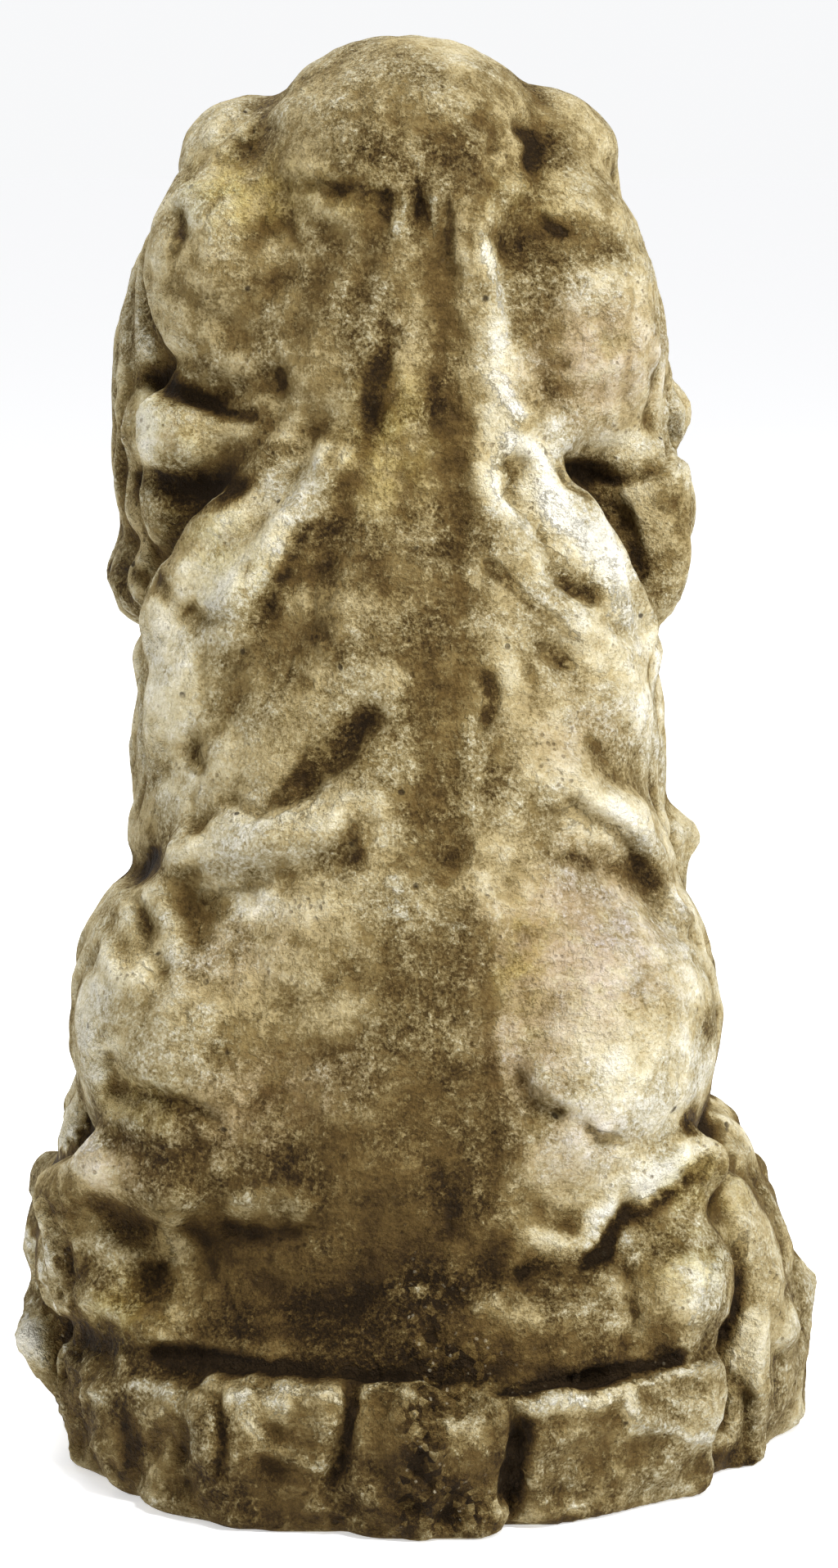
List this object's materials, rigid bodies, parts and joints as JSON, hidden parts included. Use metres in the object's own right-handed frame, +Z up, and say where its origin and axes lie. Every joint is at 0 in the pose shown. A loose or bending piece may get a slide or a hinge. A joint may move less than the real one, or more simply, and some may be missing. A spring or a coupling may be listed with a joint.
{
  "type": "dog statue",
  "caption": "Seated long-eared dog with a wavy coat, cast in aged concrete in one piece with the ring of rubble it sits on.",
  "frame": {"origin": "on the flat underside, below the middle of the bounding box", "axes": "+Z up, the dog looks along -Y, its left side is at +X"},
  "size_m": [0.2234, 0.2402, 0.3797],
  "materials": {
    "concrete": "weathered matt concrete, pale on the ridges and brown in the hollows"
  },
  "bodies": {
    "root": {"dog_statue": "concrete"}
  },
  "joints": []
}
